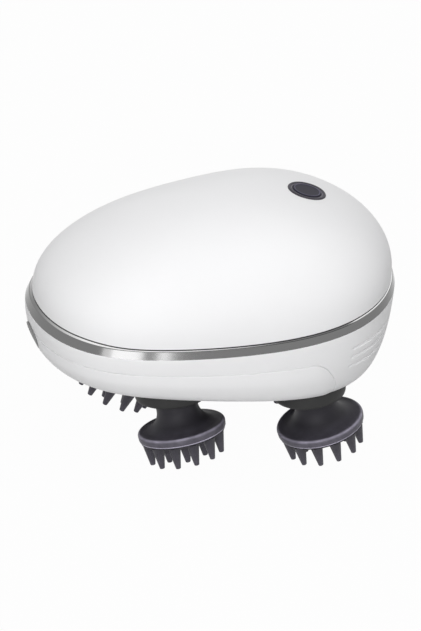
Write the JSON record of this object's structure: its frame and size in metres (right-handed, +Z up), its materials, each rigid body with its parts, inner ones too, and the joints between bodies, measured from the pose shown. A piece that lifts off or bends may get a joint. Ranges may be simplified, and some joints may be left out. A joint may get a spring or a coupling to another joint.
{
  "type": "electric scalp massager",
  "caption": "Egg-shaped handheld scalp massager with a metal band and tilted, geared rubber heads whose prongs knead as they turn.",
  "frame": {"origin": "middle of the footprint, on the plane on which the prong tips stand", "axes": "+X along the body towards the button end, +Y across it, +Z up through the dome"},
  "size_m": [0.1281, 0.0928, 0.0931],
  "materials": {
    "shell_white": "satin moulded plastic",
    "band_metal": "finely brushed, bright bevel",
    "seal_dark": "matt",
    "base_dark": "fine spark texture",
    "head_rubber": "soft-touch silicone",
    "collar_rubber": "soft-touch silicone",
    "gear_plastic": "moulded acetal",
    "bush_bronze": "sintered",
    "steel": "turned",
    "battery_wrap": "shrink sleeve",
    "frame_grey": "moulded",
    "board_green": "solder mask",
    "switch_black": "moulded",
    "button_dark": "satin",
    "bezel_dark": "satin",
    "ring_pale": "translucent light ring",
    "port_grey": "soft flap"
  },
  "bodies": {
    "housing": {"top_shell": "shell_white", "shell_seal": "seal_dark", "metal_band": "band_metal", "lower_housing": "shell_white", "base_cover": "base_dark", "cover_screws": "steel", "base_bushes": "bush_bronze", "gear_plate": "frame_grey", "plate_bushes": "bush_bronze", "plate_screws": "steel", "centre_axle": "steel", "motor": "steel", "motor_gearbox": "frame_grey", "motor_screws": "steel", "battery": "battery_wrap", "battery_tray": "frame_grey", "circuit_board": "board_green", "board_screws": "steel", "push_switch": "switch_black", "button_bezel": "bezel_dark", "button_ring": "ring_pale", "charge_socket": "steel"},
    "centre_gear": {"centre_gear": "gear_plastic", "drive_wheel": "gear_plastic"},
    "motor_pinion": {"motor_pinion": "bush_bronze", "output_shaft": "steel"},
    "power_button": {"button_cap": "button_dark", "switch_plunger": "switch_black"},
    "port_cover": {"port_cover": "port_grey"},
    "head_fl": {"spindle_fl": "steel", "head_gear_fl": "gear_plastic", "clip_fl": "steel", "collar_fl": "collar_rubber", "massage_head_fl": "head_rubber", "prong_pad_fl": "head_rubber", "head_screw_fl": "steel"},
    "head_fr": {"spindle_fr": "steel", "head_gear_fr": "gear_plastic", "clip_fr": "steel", "collar_fr": "collar_rubber", "massage_head_fr": "head_rubber", "prong_pad_fr": "head_rubber", "head_screw_fr": "steel"},
    "head_rl": {"spindle_rl": "steel", "head_gear_rl": "gear_plastic", "clip_rl": "steel", "collar_rl": "collar_rubber", "massage_head_rl": "head_rubber", "prong_pad_rl": "head_rubber", "head_screw_rl": "steel"},
    "head_rr": {"spindle_rr": "steel", "head_gear_rr": "gear_plastic", "clip_rr": "steel", "collar_rr": "collar_rubber", "massage_head_rr": "head_rubber", "prong_pad_rr": "head_rubber", "head_screw_rr": "steel"}
  },
  "joints": [
    {"name": "head_fl_spin", "type": "hinge", "parent": "housing", "child": "head_fl", "pos_m": [-0.01649, -0.0205, 0.03166], "axis": [0, 0, 1], "continuous": true},
    {"name": "head_fr_spin", "type": "hinge", "parent": "housing", "child": "head_fr", "pos_m": [0.03249, -0.02301, 0.03166], "axis": [0, 0, 1], "continuous": true},
    {"name": "head_rl_spin", "type": "hinge", "parent": "housing", "child": "head_rl", "pos_m": [-0.01649, 0.0205, 0.03166], "axis": [0, 0, 1], "continuous": true},
    {"name": "head_rr_spin", "type": "hinge", "parent": "housing", "child": "head_rr", "pos_m": [0.03249, 0.02301, 0.03166], "axis": [0, 0, 1], "continuous": true},
    {"name": "centre_gear_spin", "type": "hinge", "parent": "housing", "child": "centre_gear", "pos_m": [0.00911, 0, 0.03966], "axis": [0, 0, 1], "continuous": true},
    {"name": "motor_pinion_spin", "type": "hinge", "parent": "housing", "child": "motor_pinion", "pos_m": [0.03551, 0, 0.04366], "axis": [0, 0, 1], "continuous": true},
    {"name": "power_button_press", "type": "slide", "parent": "housing", "child": "power_button", "axis": [-0.1578, 0, -0.9875], "range_m": [0, 0.0007], "stiffness_N_per_m": 2500},
    {"name": "port_cover_hinge", "type": "hinge", "parent": "housing", "child": "port_cover", "pos_m": [-0.05983, 0, 0.03516], "axis": [0, -1, 0], "range_deg": [0, 95]}
  ],
  "couplings": [
    {"joint": "head_fr_spin", "follows": "head_fl_spin", "ratio": 1},
    {"joint": "head_rl_spin", "follows": "head_fl_spin", "ratio": 1},
    {"joint": "head_rr_spin", "follows": "head_fl_spin", "ratio": 1},
    {"joint": "centre_gear_spin", "follows": "head_fl_spin", "ratio": -0.63636},
    {"joint": "motor_pinion_spin", "follows": "head_fl_spin", "ratio": 1.9091}
  ]
}
